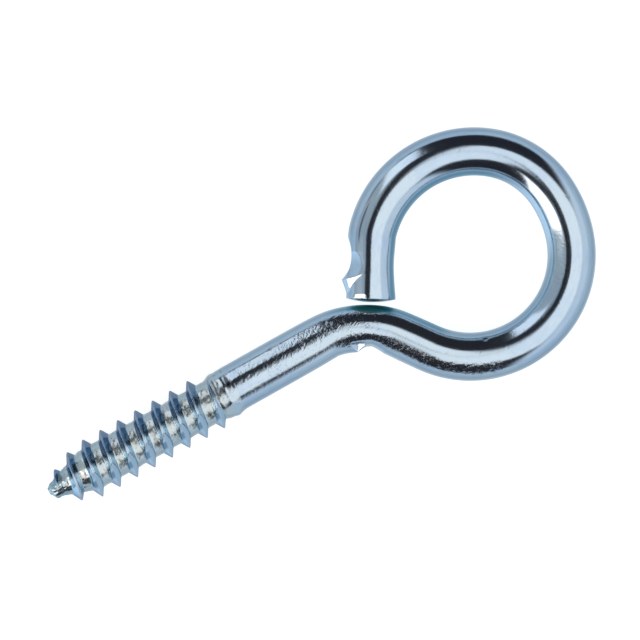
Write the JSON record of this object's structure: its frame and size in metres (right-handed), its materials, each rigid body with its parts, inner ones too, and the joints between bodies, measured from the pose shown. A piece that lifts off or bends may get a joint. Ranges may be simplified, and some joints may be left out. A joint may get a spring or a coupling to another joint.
{
  "type": "screw eye",
  "caption": "Screw eye bent from one length of round zinc-plated wire, with a wood-screw thread and a nearly closed round eye.",
  "frame": {"origin": "centre of the eye, in the wire's mid-plane, on the line of the shank", "axes": "+X along the shank from the point to the eye, +Y to the side of the free end, +Z out of the plane of the eye"},
  "size_m": [0.0604, 0.0249, 0.006],
  "materials": {
    "zinc_plate": "bright blue-passivated zinc plate on steel wire, smooth and glossy, a little cloudy in the thread"
  },
  "bodies": {
    "root": {"screw_eye": "zinc_plate"}
  },
  "joints": []
}
